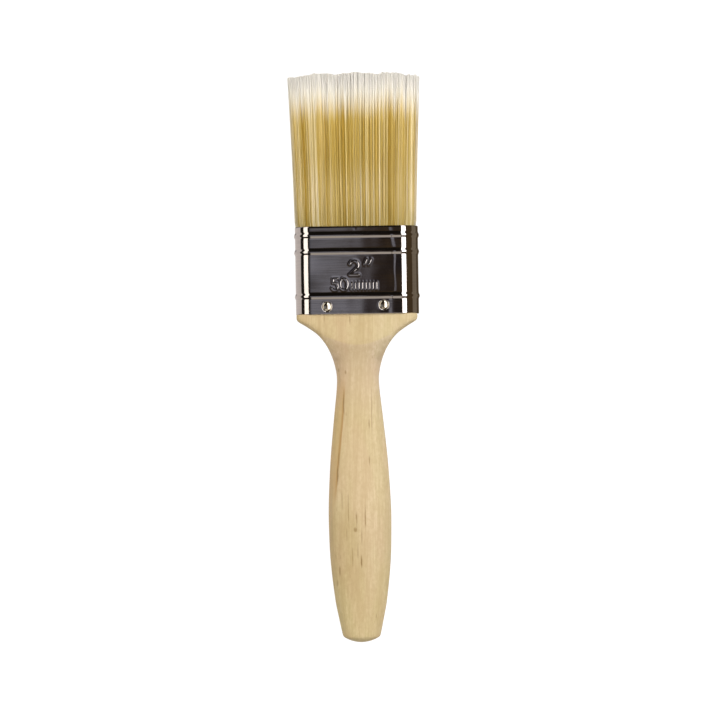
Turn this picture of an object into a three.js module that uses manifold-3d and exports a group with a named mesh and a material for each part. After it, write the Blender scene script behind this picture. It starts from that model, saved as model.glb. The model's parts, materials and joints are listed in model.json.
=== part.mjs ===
// A flat 50 mm (2 in) paint brush, lying on its back.
// Millimetres, +Z up, +Y towards the filament tips. The origin is under the middle of the brush.
import * as THREE from 'three';
import { mergeVertices } from 'three/addons/utils/BufferGeometryUtils.js';
import Module from 'manifold-3d';

// Driving dimensions
const LENGTH = 234; // overall, butt to filament tips
const TIPS = LENGTH / 2; // Y of the filament tips
const FILAMENT_OUT = 63.2; // filament length that stands out of the ferrule
const FERRULE_LENGTH = 36;
const WALL = 0.4; // ferrule sheet
const GAP = 0.3; // clearance between separate pieces
const BORE_HALF_WIDTH = 24.7; // inside of the ferrule
const BORE_HALF_THICKNESS = 7.4;
const BORE_CORNER = 7.1;
const BEAD_RISE = 0.4;
const BEAD_HALF_WIDTH = 1.55;
const BEAD_DEPTHS = [3.7, 10.5, 28.6]; // bead centres, measured down from the mouth
const SEAM_LAP = 0.5; // extra metal where the sheet folds over on the +X edge
const SEAM_HALF_ANGLE = 0.35; // radians of the section that the lap covers

const MOUTH = TIPS - FILAMENT_OUT; // Y of the ferrule's upper edge
const SKIRT = MOUTH - FERRULE_LENGTH; // Y of the ferrule's lower edge
const MID_PLANE = BORE_HALF_THICKNESS + WALL + BEAD_RISE; // Z of the brush's middle plane

const HEAD_HALF_WIDTH = 24.8; // wooden head just below the ferrule
const HEAD_HALF_THICKNESS = 7.4;
const TENON_DEPTH = 12.5; // wood inside the ferrule
const NECK_DROP = 26.3; // thinnest place, measured down from the ferrule
const NECK_HALF_THICKNESS = 5.6;
const NECK_SWEEP = 0.0096; // growth of the half-thickness towards the head, per mm squared
const HEAD_FADE = 23.3; // where the flat head has become a plain oval
const BOARD_POWER = 9; // squareness of the board's edges
const OVAL_POWER = 2.2; // squareness of the oval
const CREASE_POWER = 24; // sharpness of the crease where the oval cuts the board
const END_DROP = 134.8; // tip of the rounded end
const END_RADIUS = 14.1;
const END_POWER = 22; // sharpness of the corner where the rounded end meets the sides

const SETTING_BOTTOM = SKIRT + TENON_DEPTH + GAP;
const SETTING_TOP = SETTING_BOTTOM + 8;
const SETTING_FLOOR = 2; // epoxy under the filament ends
const SETTING_WALL = 1.6; // epoxy round the filament ends
const SPACER_THICKNESS = 1.2;
const SPACER_HALF_WIDTH = 21;
const SPACER_TOP = MOUTH - 1;
const MIDDLE_HALF_THICKNESS = 2; // middle layer of filament at the root

const FLEX_AXIS = MOUTH + 8; // Y of the line about which the filament bends
const FLEX_RADIUS = 7.3;
const ROOT_TOP = MOUTH + 3;
const TIP_HALF_WIDTH = 27;
const SPLIT = 2.2; // half-thickness at which the free layers part

const NAIL_HEAD_RADIUS = 1.9;
const NAIL_SHANK_RADIUS = 0.7;
const NAIL_LENGTH = 6;
const NAIL_POINT = 1.2; // length of the tapered point
const NAIL_HEAD_SUNK = 0.25; // underside of the head below the ferrule's outer face
const NAIL_HEAD_PROUD = 0.35;
const NAILS = [
  { name: 'front_nail_left', x: -12.1, y: SKIRT + 3.1, side: 1 },
  { name: 'front_nail_right', x: 11.1, y: SKIRT + 3.6, side: 1 },
  { name: 'back_nail_left', x: -11.6, y: SKIRT + 3.1, side: -1 },
  { name: 'back_nail_right', x: 11.8, y: SKIRT + 2.9, side: -1 },
];

const SIDES = 32; // facets round each lofted section
const REACH = 200; // longer than any cut needs

const FINISHES = {
  wood: { color: 0xdac397, roughness: 0.65, metalness: 0 },
  nickel: { color: 0xb9b4b0, roughness: 0.15, metalness: 1 },
  epoxy: { color: 0xc9a968, roughness: 0.3, metalness: 0 },
  strip: { color: 0xc7ab7c, roughness: 0.8, metalness: 0 },
  filament: { color: 0xc2a260, roughness: 0.45, metalness: 0 },
};

const wasm = await Module();
wasm.setup();

// Solids

function solidOf(geometry) {
  const bare = geometry.clone();
  bare.deleteAttribute('normal');
  bare.deleteAttribute('uv');
  const whole = mergeVertices(bare, 1e-4);
  const vertProperties = new Float32Array(whole.attributes.position.array);
  const triVerts = new Uint32Array(whole.index.array);
  return new wasm.Manifold(new wasm.Mesh({ numProp: 3, vertProperties, triVerts }));
}

function geometryOf(solid) {
  const mesh = solid.getMesh();
  const geometry = new THREE.BufferGeometry();
  geometry.setAttribute('position', new THREE.BufferAttribute(mesh.vertProperties, 3));
  geometry.setIndex(new THREE.BufferAttribute(mesh.triVerts, 1));
  geometry.computeVertexNormals();
  return geometry;
}

// A closed skin along Y. outline(y, angle) gives the section's point [x, z] at that angle.
function loft(stations, outline) {
  const ring = stations.map((y) => new THREE.Vector2(1, y));
  const profile = [new THREE.Vector2(0, stations[0]), ...ring, new THREE.Vector2(0, stations.at(-1))];
  const skin = new THREE.LatheGeometry(profile, SIDES, Math.PI / SIDES);
  const position = skin.attributes.position;
  for (let i = 0; i < position.count; i++) {
    const [x, y, z] = [position.getX(i), position.getY(i), position.getZ(i)];
    const onAxis = Math.hypot(x, z) < 0.5;
    const [u, v] = onAxis ? [0, 0] : outline(y, Math.atan2(z, x));
    position.setXYZ(i, u, y, v + MID_PLANE);
  }
  return solidOf(skin);
}

// The point of a rounded rectangle whose edge faces the given angle.
function roundedRectangle(halfWidth, halfThickness, corner, angle) {
  const x = Math.sign(Math.cos(angle)) * (halfWidth - corner) + corner * Math.cos(angle);
  const z = Math.sign(Math.sin(angle)) * (halfThickness - corner) + corner * Math.sin(angle);
  return [x, z];
}

// The ferrule's bore, made smaller all round by inset, between two heights.
function boreFill(bottom, top, inset) {
  return loft([bottom, top], (y, angle) => roundedRectangle(
    BORE_HALF_WIDTH - inset, BORE_HALF_THICKNESS - inset, BORE_CORNER - inset, angle));
}

function slab(zLow, zHigh, yLow = -REACH, yHigh = REACH, halfWidth = REACH) {
  const box = new THREE.BoxGeometry(2 * halfWidth, yHigh - yLow, zHigh - zLow);
  box.translate(0, (yLow + yHigh) / 2, MID_PLANE + (zLow + zHigh) / 2);
  return solidOf(box);
}

function barAcross(radius) {
  const bar = new THREE.CylinderGeometry(radius, radius, REACH, 48);
  bar.rotateZ(Math.PI / 2).translate(0, FLEX_AXIS, MID_PLANE);
  return solidOf(bar);
}

// A smooth curve through [position, value] points, read at one position.
function through(points, at) {
  let i = 0;
  while (i < points.length - 2 && points[i + 1][0] < at) i++;
  const slopeAt = (k) => {
    const [before, after] = [points[Math.max(k - 1, 0)], points[Math.min(k + 1, points.length - 1)]];
    return (after[1] - before[1]) / (after[0] - before[0]);
  };
  const [[x0, y0], [x1, y1]] = [points[i], points[i + 1]];
  const span = x1 - x0;
  const t = Math.min(Math.max((at - x0) / span, 0), 1);
  return y0 * (1 + 2 * t) * (1 - t) ** 2 + y1 * t * t * (3 - 2 * t)
    + span * t * (1 - t) * (slopeAt(i) * (1 - t) - slopeAt(i + 1) * t);
}

// Handle

const HANDLE_OUTLINE = [ // drop below the ferrule, half-width
  [0, HEAD_HALF_WIDTH], [1.4, HEAD_HALF_WIDTH], [2.2, 24.6], [3.0, 23.9], [4.7, 21.1],
  [8.0, 16.5], [12.1, 13.1], [16.6, 10.8], [22.8, 9.05], [28.0, 8.65], [43.4, 10.2], [59.9, 11.8],
  [76.3, 12.75], [85.3, 12.9], [101.1, 12.4], [117.5, 10.65], [125.7, 9.1], [END_DROP, 7.2],
];
const GRIP_THICKNESS = [ // drop below the ferrule, half-thickness
  [NECK_DROP, NECK_HALF_THICKNESS], [44.3, 6.5], [64.3, 7.6], [84.3, MID_PLANE], [104.3, 7.7],
  [119.3, 6.5], [END_DROP, 5.0],
];
const OVAL_SPREAD = [ // drop below the ferrule, how far the oval reaches past the board's edge
  [0, 16], [2.3, 8], [5.3, 6.5], [10.3, 7], [15.3, 3.5], [HEAD_FADE, 0],
];

function powerSum(a, b, power) {
  return (a ** power + b ** power) ** (1 / power);
}

// How much of the section is left at this drop: 1 along the grip, 0 at the tip of the round end.
function endClosure(drop, halfWidth) {
  const left = Math.max(END_DROP - drop, 1e-6);
  if (left >= END_RADIUS) return 1;
  const arc = Math.sqrt(2 * END_RADIUS * left - left ** 2);
  return 1 / powerSum(1, halfWidth / arc, END_POWER);
}

function ovalHalfThickness(drop) {
  if (drop < NECK_DROP) return NECK_HALF_THICKNESS + NECK_SWEEP * (NECK_DROP - drop) ** 2;
  return through(GRIP_THICKNESS, drop);
}

// The handle's section is an oval that widens towards the ferrule, cut to a flat board's outline.
function handleOutline(y, angle) {
  const drop = SKIRT - y;
  const halfWidth = through(HANDLE_OUTLINE, drop);
  const closure = endClosure(drop, halfWidth);
  const width = halfWidth * closure;
  const thickness = ovalHalfThickness(drop) * closure ** 0.6;
  const depth = Math.min(thickness, HEAD_HALF_THICKNESS);
  const widening = 1 + through(OVAL_SPREAD, drop) / width;
  const boardFade = 1 + 0.5 * THREE.MathUtils.smoothstep(drop, HEAD_FADE / 2, HEAD_FADE * 1.25);
  const reachAt = (c, s) => {
    const board = powerSum(c, s * depth / HEAD_HALF_THICKNESS, BOARD_POWER) / boardFade;
    const oval = powerSum(c / widening, s * depth / thickness, OVAL_POWER);
    return 1 / powerSum(board, oval, CREASE_POWER);
  };
  const reach = reachAt(Math.abs(Math.cos(angle)), Math.abs(Math.sin(angle)));
  return [reach / reachAt(1, 0) * width * Math.cos(angle), reach * depth * Math.sin(angle)];
}

function makeHandle() {
  const drops = [0.01, 0.8, 1.5, 2.1, 2.7, 3.5, 4.5, 5.5, 6.5, 7.5, 8.5, 9.5, 10.5, 11.5, 12.5, 14,
    15.5, 17.5, 19.5, 21.5, 23.3, 26.3, 31.3, 37.3, 44.3, 52.3, 60.3, 69.3, 78.3, 87.3, 96.3, 105.3,
    113.3, 121.3, 126.3, 130.3, 131.9, 132.6, 133.1, 133.6, 134.1, 134.5, 134.7, 134.79];
  const body = loft(drops.map((drop) => SKIRT - drop).reverse(), handleOutline);
  const tenon = boreFill(SKIRT - 1, SKIRT + TENON_DEPTH, GAP);
  return cutForNails(body.add(tenon), NAIL_SHANK_RADIUS + GAP);
}

// Ferrule

function beadRise(y) {
  const rises = BEAD_DEPTHS.map((depth) => {
    const away = Math.min(Math.abs(MOUTH - depth - y) / BEAD_HALF_WIDTH, 1);
    return BEAD_RISE * (1 + Math.cos(Math.PI * away)) / 2;
  });
  return Math.max(...rises);
}

function makeFerrule() {
  const beadSteps = [-1, -0.5, 0, 0.5, 1].map((step) => step * BEAD_HALF_WIDTH);
  const beadHeights = BEAD_DEPTHS.toReversed().flatMap((depth) => beadSteps.map((s) => MOUTH - depth + s));
  const heights = [SKIRT, ...beadHeights, MOUTH];
  const outside = heights.map((y) => new THREE.Vector2(BORE_CORNER + WALL + beadRise(y), y));
  const inside = heights.toReversed().map((y) => new THREE.Vector2(BORE_CORNER + beadRise(y), y));
  const profile = [...outside, ...inside, outside[0]];
  const band = new THREE.LatheGeometry(profile, SIDES, Math.PI / SIDES);
  const position = band.attributes.position;
  for (let i = 0; i < position.count; i++) {
    const [x, y, z] = [position.getX(i), position.getY(i), position.getZ(i)];
    const angle = Math.atan2(z, x);
    const row = i % profile.length;
    const isOutside = row < outside.length || row === profile.length - 1;
    const lap = isOutside && Math.abs(angle) < SEAM_HALF_ANGLE ? SEAM_LAP : 0;
    const radius = Math.hypot(x, z) + lap;
    position.setXYZ(
      i,
      Math.sign(x) * (BORE_HALF_WIDTH - BORE_CORNER) + radius * Math.cos(angle),
      y,
      Math.sign(z) * (BORE_HALF_THICKNESS - BORE_CORNER) + radius * Math.sin(angle) + MID_PLANE,
    );
  }
  return cutForNails(solidOf(band), NAIL_HEAD_RADIUS + GAP);
}

// Nails

function cutForNails(solid, radius) {
  return NAILS.reduce((left, nail) => {
    const hole = new THREE.CylinderGeometry(radius, radius, NAIL_LENGTH + 2, 16);
    const middle = BORE_HALF_THICKNESS + WALL + GAP - NAIL_LENGTH / 2;
    hole.rotateX(Math.PI / 2).translate(nail.x, nail.y, MID_PLANE + nail.side * middle);
    return left.subtract(solidOf(hole));
  }, solid);
}

// A domed nail that points down -Y, with Y = 0 on the ferrule's outer face.
function makeNail() {
  const profile = [[0, -NAIL_LENGTH], [NAIL_SHANK_RADIUS, NAIL_POINT - NAIL_LENGTH],
    [NAIL_SHANK_RADIUS, -NAIL_HEAD_SUNK], [NAIL_HEAD_RADIUS, -NAIL_HEAD_SUNK], [NAIL_HEAD_RADIUS, -0.05],
    [1.5, 0.19], [0.85, 0.31], [0, NAIL_HEAD_PROUD]];
  return new THREE.LatheGeometry(profile.map(([r, y]) => new THREE.Vector2(r, y)), 16);
}

// Epoxy setting and spacers

function layerSlab(layer, low, high) {
  if (layer === 'middle') return slab(-low, low);
  return layer === 'front' ? slab(high, REACH) : slab(-REACH, -high);
}

const SPACER_NEAR = MIDDLE_HALF_THICKNESS + GAP; // spacer face towards the middle layer
const SPACER_FAR = SPACER_NEAR + SPACER_THICKNESS;

function makeSetting() {
  const block = boreFill(SETTING_BOTTOM, SETTING_TOP, GAP);
  const pocket = boreFill(SETTING_BOTTOM + SETTING_FLOOR, SETTING_TOP + 1, SETTING_WALL);
  return ['front', 'middle', 'back'].reduce(
    (left, layer) => left.subtract(pocket.intersect(layerSlab(layer, SPACER_NEAR, SPACER_FAR))), block);
}

function makeSpacer(side) {
  const faces = [side * SPACER_NEAR, side * SPACER_FAR].sort((a, b) => a - b);
  return slab(...faces, SETTING_TOP + GAP, SPACER_TOP, SPACER_HALF_WIDTH);
}

// Filament

function makeRoot(layer) {
  const foot = boreFill(SETTING_BOTTOM + SETTING_FLOOR + GAP, SETTING_TOP + 1, SETTING_WALL + GAP);
  const body = boreFill(SETTING_TOP + GAP, ROOT_TOP, GAP);
  const seat = barAcross(FLEX_RADIUS + GAP);
  const above = slab(-FLEX_RADIUS, FLEX_RADIUS, FLEX_AXIS, REACH);
  const held = foot.add(body).subtract(seat).subtract(above);
  return held.intersect(layerSlab(layer, MIDDLE_HALF_THICKNESS, SPACER_FAR + GAP));
}

const HEAD_THICKNESS = [ // height above the flex axis, half-thickness
  [0, 7.2], [20, 7.8], [40, 7.1], [TIPS - FLEX_AXIS, 5.5],
];

function filamentOutline(y, angle) {
  const above = Math.max(y - FLEX_AXIS, 0);
  const halfWidth = THREE.MathUtils.lerp(BORE_HALF_WIDTH, TIP_HALF_WIDTH, above / (TIPS - FLEX_AXIS));
  const halfThickness = through(HEAD_THICKNESS, above);
  return roundedRectangle(halfWidth, halfThickness, Math.min(halfThickness - 0.3, 6), angle);
}

function makeFilament(layer) {
  const heights = [FLEX_AXIS - FLEX_RADIUS, FLEX_AXIS, ...[1, 2, 3, 4, 5, 6].map(
    (step) => FLEX_AXIS + step * (TIPS - FLEX_AXIS) / 6)];
  const head = loft(heights, filamentOutline);
  const above = slab(-REACH, REACH, FLEX_AXIS, REACH);
  const knuckle = barAcross(FLEX_RADIUS);
  return head.intersect(knuckle.add(above)).intersect(layerSlab(layer, SPLIT - GAP / 2, SPLIT + GAP / 2));
}

// Assembly

const brush = new THREE.Group();

function add(name, geometry, finish) {
  const mesh = new THREE.Mesh(geometry, new THREE.MeshStandardMaterial(FINISHES[finish]));
  mesh.name = name;
  brush.add(mesh);
  return mesh;
}

add('handle', geometryOf(makeHandle()), 'wood');
add('ferrule', geometryOf(makeFerrule()), 'nickel');
for (const nail of NAILS) {
  const mesh = add(nail.name, geometryOf(solidOf(makeNail())), 'nickel');
  mesh.position.set(nail.x, nail.y, MID_PLANE + nail.side * (BORE_HALF_THICKNESS + WALL));
  mesh.rotation.x = nail.side * Math.PI / 2;
}
add('epoxy_setting', geometryOf(makeSetting()), 'epoxy');
add('spacer_front', geometryOf(makeSpacer(1)), 'strip');
add('spacer_back', geometryOf(makeSpacer(-1)), 'strip');
for (const layer of ['front', 'middle', 'back']) {
  add(`filament_root_${layer}`, geometryOf(makeRoot(layer)), 'filament');
  add(`filament_${layer}`, geometryOf(makeFilament(layer)), 'filament');
}

export default brush;
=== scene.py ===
"""The looks of a flat 50 mm paint brush, lying on its back: wood, plated steel and tapered filament."""

import json
import math

import bpy
import numpy as np
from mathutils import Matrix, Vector


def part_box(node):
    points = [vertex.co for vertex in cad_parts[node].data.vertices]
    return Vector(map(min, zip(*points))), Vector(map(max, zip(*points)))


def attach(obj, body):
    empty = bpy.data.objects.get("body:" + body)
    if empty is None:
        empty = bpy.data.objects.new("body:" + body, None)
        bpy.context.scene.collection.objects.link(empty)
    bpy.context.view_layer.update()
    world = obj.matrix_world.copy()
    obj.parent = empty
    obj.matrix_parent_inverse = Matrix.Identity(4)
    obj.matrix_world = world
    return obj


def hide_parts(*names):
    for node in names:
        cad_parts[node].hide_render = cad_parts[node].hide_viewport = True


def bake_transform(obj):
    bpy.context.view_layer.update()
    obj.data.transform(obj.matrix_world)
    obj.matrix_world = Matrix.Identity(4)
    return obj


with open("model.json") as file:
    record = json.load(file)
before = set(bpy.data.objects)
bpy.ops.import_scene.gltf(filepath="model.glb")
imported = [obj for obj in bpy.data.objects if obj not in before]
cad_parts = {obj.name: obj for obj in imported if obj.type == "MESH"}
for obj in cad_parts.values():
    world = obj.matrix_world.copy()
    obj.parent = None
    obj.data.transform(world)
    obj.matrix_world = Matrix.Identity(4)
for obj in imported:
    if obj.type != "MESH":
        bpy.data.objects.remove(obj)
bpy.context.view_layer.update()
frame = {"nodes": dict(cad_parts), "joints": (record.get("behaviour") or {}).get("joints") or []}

MM = 0.001
random = np.random.default_rng(50)

# Places and sizes from the frame, in millimetres


def edges(node):
    """The lowest and highest corners of a node's box."""
    low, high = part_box(node)
    return np.array(low) / MM, np.array(high) / MM


SKIRT, MOUTH = (corner[1] for corner in edges("ferrule"))
TENON_TOP = edges("handle")[1][1]
SETTING_LOW = edges("epoxy_setting")[0][1]
TIPS = edges("filament_middle")[1][1]
MID_PLANE = frame["joints"][0]["pos_m"][2] / MM

# Sizes that several pieces share

BORE_HALF_WIDTH = 24.7
BORE_HALF_THICKNESS = 7.4
BORE_CORNER = 7.1
CORE_X = BORE_HALF_WIDTH - BORE_CORNER
CORE_Z = BORE_HALF_THICKNESS - BORE_CORNER
WALL = 0.4
CLEARANCE = 0.3


# Mesh tools


def smoothstep(x, low, high):
    t = np.clip((x - low) / (high - low), 0, 1)
    return t * t * (3 - 2 * t)


def through(points, at):
    """A smooth curve through (position, value) points, read at an array of positions."""
    xs, ys = np.array(points, float).T
    slopes = np.gradient(ys, xs, edge_order=1)
    slopes[1:-1] = (ys[2:] - ys[:-2]) / (xs[2:] - xs[:-2])
    at = np.clip(at, xs[0], xs[-1])
    i = np.clip(np.searchsorted(xs, at) - 1, 0, len(xs) - 2)
    span = xs[i + 1] - xs[i]
    t = (at - xs[i]) / span
    return (ys[i] * (1 + 2 * t) * (1 - t) ** 2 + ys[i + 1] * t * t * (3 - 2 * t)
            + span * t * (1 - t) * (slopes[i] * (1 - t) - slopes[i + 1] * t))


def new_piece(name, vertices, faces, material, uvs=None, smooth_groups=9):
    """An object from arrays in millimetres. faces is one array or a list, the first groups smooth."""
    mesh = bpy.data.meshes.new(name)
    groups = faces if isinstance(faces, list) else [faces]
    loops = np.concatenate([g.ravel() for g in groups])
    sizes = np.concatenate([np.full(len(g), g.shape[1]) for g in groups])
    mesh.vertices.add(len(vertices))
    mesh.vertices.foreach_set("co", (np.asarray(vertices) * MM).ravel())
    mesh.loops.add(len(loops))
    mesh.loops.foreach_set("vertex_index", loops.astype(np.int32))
    mesh.polygons.add(len(sizes))
    starts = np.concatenate([[0], np.cumsum(sizes)[:-1]])
    mesh.polygons.foreach_set("loop_start", starts.astype(np.int32))
    mesh.polygons.foreach_set("loop_total", sizes.astype(np.int32))
    mesh.update(calc_edges=True)
    smooth = np.concatenate([np.full(len(g), i < smooth_groups) for i, g in enumerate(groups)])
    mesh.polygons.foreach_set("use_smooth", smooth)
    if uvs is not None:
        layer = mesh.uv_layers.new(name="OFBake")
        layer.uv.foreach_set("vector", uvs.astype(np.float32).ravel())
    mesh.materials.append(material)
    piece = bpy.data.objects.new(name, mesh)
    bpy.context.scene.collection.objects.link(piece)
    return piece


def grid_faces(rows, columns, closed_rows=False):
    """Quads of a grid whose columns close on themselves, with each corner's place in a unit square."""
    last = rows if closed_rows else rows - 1
    r, c = np.meshgrid(np.arange(last), np.arange(columns), indexing="ij")
    r, c = r.ravel(), c.ravel()
    r2, c2 = (r + 1) % rows, (c + 1) % columns
    faces = np.stack([r * columns + c, r * columns + c2, r2 * columns + c2, r2 * columns + c], 1)
    u = np.stack([c, c + 1, c + 1, c], 1) / columns
    v = np.stack([r, r, r + 1, r + 1], 1) / last
    return faces, np.stack([u, v], 2)


def set_attribute(piece, name, values):
    """A value at each vertex, for the material to read."""
    attribute = piece.data.attributes.new(name, "FLOAT", "POINT")
    attribute.data.foreach_set("value", values.astype(np.float32))


def cap_faces(ring_start, columns, centre, flip):
    """A fan of triangles from a ring to a centre vertex."""
    c = np.arange(columns)
    a, b = ring_start + c, ring_start + (c + 1) % columns
    fan = [np.full(columns, centre), b, a] if flip else [np.full(columns, centre), a, b]
    return np.stack(fan, 1)


# Node tools


class Nodes:
    """Short calls that add nodes to one tree."""

    def __init__(self, tree):
        self.tree = tree

    def link(self, source, target):
        self.tree.links.new(source, target)

    def node(self, kind, **settings):
        made = self.tree.nodes.new("ShaderNode" + kind)
        for key, value in settings.items():
            setattr(made, key, value)
        return made

    def feed(self, socket, value):
        if isinstance(value, bpy.types.NodeSocket):
            self.link(value, socket)
        elif isinstance(value, tuple):
            socket.default_value = (*value, 1)
        else:
            socket.default_value = value

    def place(self, scale, turn=0.0):
        """Object coordinates, in metres, turned about Z and then times a scale."""
        where = self.node("TexCoord")
        mapping = self.node("Mapping", vector_type="TEXTURE")
        mapping.inputs["Rotation"].default_value = (0, 0, turn)
        mapping.inputs["Scale"].default_value = [1 / s if s else 1e9 for s in scale]
        self.link(where.outputs["Object"], mapping.inputs["Vector"])
        return mapping.outputs["Vector"]

    def split(self, vector):
        made = self.node("SeparateXYZ")
        self.link(vector, made.inputs[0])
        return made.outputs

    def noise(self, vector, detail=2.0, roughness=0.5, distortion=0.0):
        made = self.node("TexNoise")
        settings = {"Scale": 1, "Detail": detail, "Roughness": roughness, "Distortion": distortion}
        for key, value in settings.items():
            made.inputs[key].default_value = value
        self.link(vector, made.inputs["Vector"])
        return made.outputs["Fac"]

    def between(self, value, low, high, to_low=0.0, to_high=1.0, smooth=True):
        made = self.node("MapRange", interpolation_type="SMOOTHSTEP" if smooth else "LINEAR")
        ends = {"From Min": low, "From Max": high, "To Min": to_low, "To Max": to_high}
        for key, number in ends.items():
            made.inputs[key].default_value = number
        self.link(value, made.inputs["Value"])
        return made.outputs["Result"]

    def math(self, operation, a, b=0.0):
        made = self.node("Math", operation=operation)
        self.feed(made.inputs[0], a)
        self.feed(made.inputs[1], b)
        return made.outputs[0]

    def times(self, first, *others):
        for other in others:
            first = self.math("MULTIPLY", first, other)
        return first

    def plus(self, first, *others):
        for other in others:
            first = self.math("ADD", first, other)
        return first

    def mix(self, amount, a, b, blend="MIX"):
        made = self.node("Mix", data_type="RGBA", blend_type=blend)
        for socket, value in zip((made.inputs[0], made.inputs[6], made.inputs[7]), (amount, a, b)):
            self.feed(socket, value)
        return made.outputs[2]

    def attribute(self, name):
        return self.node("Attribute", attribute_name=name).outputs["Fac"]


class Material(Nodes):
    """Nodes of a new material, round its one shader."""

    def __init__(self, name, **values):
        self.material = bpy.data.materials.new(name)
        self.material.use_nodes = True
        super().__init__(self.material.node_tree)
        self.shader = self.tree.nodes["Principled BSDF"]
        for key, value in values.items():
            self.drive(key.replace("_", " "), value)

    def drive(self, key, source):
        self.feed(self.shader.inputs[key], source)

    def bump(self, height, distance, strength=1.0):
        made = self.node("Bump")
        made.inputs["Strength"].default_value = strength
        made.inputs["Distance"].default_value = distance
        self.link(height, made.inputs["Height"])
        self.link(made.outputs["Normal"], self.shader.inputs["Normal"])


# Materials

WOOD_PALE = (0.535, 0.427, 0.243)
WOOD_AMBER = (0.415, 0.31, 0.148)
WOOD_BROWN = (0.23, 0.14, 0.045)
STRIP_COLOURS = [(0.50, 0.36, 0.19), (0.40, 0.27, 0.12), (0.2, 0.12, 0.05)]  # pale, amber and brown
NICKEL_BRIGHT = (0.45, 0.405, 0.375)
NICKEL_DULL = (0.38, 0.35, 0.335)
NICKEL_SMUDGED = (0.34, 0.30, 0.27)
NAIL_BRIGHT = (0.62, 0.56, 0.45)
NAIL_WORN = (0.42, 0.36, 0.27)
GOLD_DEEP = (0.37, 0.228, 0.018)
GOLD = (0.565, 0.412, 0.125)
GOLD_PALE = (0.82, 0.71, 0.47)
BLEACHED_TIP_SHADE = (0.555, 0.525, 0.47)
BLEACHED = (0.68, 0.64, 0.55)
PAINTED_FRINGE_LIGHT = (0.78, 0.75, 0.66)
EPOXY_CLEAR = (0.55, 0.37, 0.13)
EPOXY_CLOUDED = (0.42, 0.26, 0.08)
GRAIN_TURN = -0.02  # radians that the grain leans away from the brush's length
GRAIN_MARKS = [  # x, drop below the ferrule, half-width, half-length, strength
    (-6.0, 36.5, 0.36, 5.5, 1.0), (-8.8, 65.5, 0.42, 4.6, 1.0), (-8.3, 59.5, 0.32, 4.0, 0.7),
    (-4.8, 80.5, 0.32, 7.5, 0.6), (-1.9, 88, 0.85, 1.2, 0.75), (-1.3, 84, 0.32, 4.0, 0.6),
    (2.2, 83, 0.34, 5.0, 0.8), (0.4, 101, 0.42, 3.4, 1.0), (-3.2, 99, 0.3, 5.0, 0.6),
    (-8.5, 105, 0.4, 2.6, 0.8), (-9.6, 110, 0.45, 1.8, 0.6), (4.3, 60, 0.34, 2.6, 0.7),
    (4.3, 45, 0.34, 2.4, 0.7), (5.4, 40, 0.3, 12, 0.5), (-5.0, 23.7, 0.46, 1.0, 0.7),
    (-7.8, 22.8, 0.42, 1.0, 0.6), (-2.9, 2.3, 0.3, 2.2, 0.8), (-5.6, 90, 0.3, 3.0, 0.5),
    (0.6, 91, 0.3, 4.0, 0.5), (-1.0, 97, 0.3, 4.0, 0.5), (-7.2, 76, 0.3, 4.5, 0.4),
]
BAND_FROM = (-6.0, 36.5)  # the amber band's inner edge passes through here, as x and drop,
BAND_TO = (-8.8, 65.5)  # and here


def wood(name, pale, amber, brown):
    """Pale straight-grained hardwood: soft bands, fine fibres and short brown flecks, all along Y."""
    n = Material(name)
    bands = n.noise(n.place((230, 14, 230), GRAIN_TURN), detail=3, roughness=0.55, distortion=0.6)
    fibres = n.noise(n.place((1150, 36, 1150), GRAIN_TURN), detail=4, roughness=0.72)
    hairs = n.noise(n.place((2900, 90, 2900), GRAIN_TURN), detail=2, roughness=0.6)
    mottle = n.noise(n.place((800, 520, 800)), detail=3, roughness=0.65)
    blush = n.noise(n.place((110, 34, 110)), detail=2, roughness=0.5)
    flecks = n.noise(n.place((1350, 150, 1350), GRAIN_TURN), detail=2, roughness=0.45)
    rare = n.noise(n.place((380, 26, 380)), detail=2, roughness=0.5)
    colour = n.mix(n.between(bands, 0.35, 0.75, 0.0, 0.75), pale, amber)
    colour = n.mix(n.between(fibres, 0.36, 0.68, 0.0, 0.6), colour, amber)
    colour = n.mix(n.between(hairs, 0.42, 0.72, 0.0, 0.5), colour, amber)
    colour = n.mix(n.between(mottle, 0.35, 0.7, 0.0, 0.55), colour, amber)
    colour = n.mix(n.between(blush, 0.4, 0.62, 0.0, 0.6), colour, (1.03, 0.97, 1.06), blend="MULTIPLY")
    dashes = n.times(n.between(flecks, 0.65, 0.75), n.between(rare, 0.52, 0.64))
    colour = n.mix(n.times(dashes, 0.6), colour, brown)
    n.drive("Base Color", colour)
    n.drive("Roughness", n.between(fibres, 0.2, 0.8, 0.52, 0.7, smooth=False))
    n.bump(n.plus(fibres, n.times(mottle, 0.4)), 0.00005, 0.5)
    return n, colour


def with_grain_marks(n, colour, x, drop, waver, front):
    """A colour with the short brown marks of GRAIN_MARKS on it, each with a ragged edge."""
    ragged = n.noise(n.place((2200, 420, 2200)), detail=3, roughness=0.6)
    for mark_x, mark_drop, half_width, half_length, strength in GRAIN_MARKS:
        across = n.math("DIVIDE", n.plus(x, -mark_x, n.times(waver, 0.8), -0.4), half_width)
        along = n.math("DIVIDE", n.plus(drop, -mark_drop), half_length)
        away = n.plus(n.times(across, across), n.times(along, along), n.times(ragged, 1.6), -0.8)
        mark = n.times(n.between(away, 1.1, -0.1), strength, front)
        colour = n.mix(mark, colour, WOOD_BROWN)
    return colour


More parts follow.
